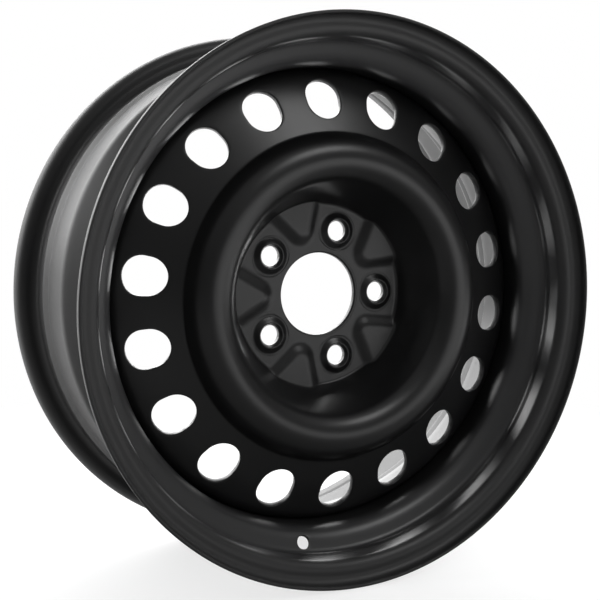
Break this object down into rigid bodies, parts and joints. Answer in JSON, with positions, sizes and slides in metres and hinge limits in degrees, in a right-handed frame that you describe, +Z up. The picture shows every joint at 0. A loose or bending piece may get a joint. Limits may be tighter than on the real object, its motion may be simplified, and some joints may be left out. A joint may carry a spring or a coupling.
{
  "type": "steel wheel rim",
  "caption": "Black pressed-steel wheel for a passenger car: a drop-centre rim with a welded disc that has ring vents, raised conical nut seats and an open hub bore.",
  "frame": {"origin": "centre of the wheel: on the axle, half way between the two bead flanges", "axes": "+Y along the axle towards the inboard side, so the face with the nut seats looks to -Y; +Z up; a nut hole lies on +X"},
  "size_m": [0.4712, 0.2038, 0.471],
  "materials": {
    "rim_paint": "satin black paint",
    "disc_paint": "satin black paint",
    "weld_paint": "satin black paint"
  },
  "bodies": {
    "root": {"rim": "rim_paint", "disc": "disc_paint", "disc_welds": "weld_paint"}
  },
  "joints": []
}
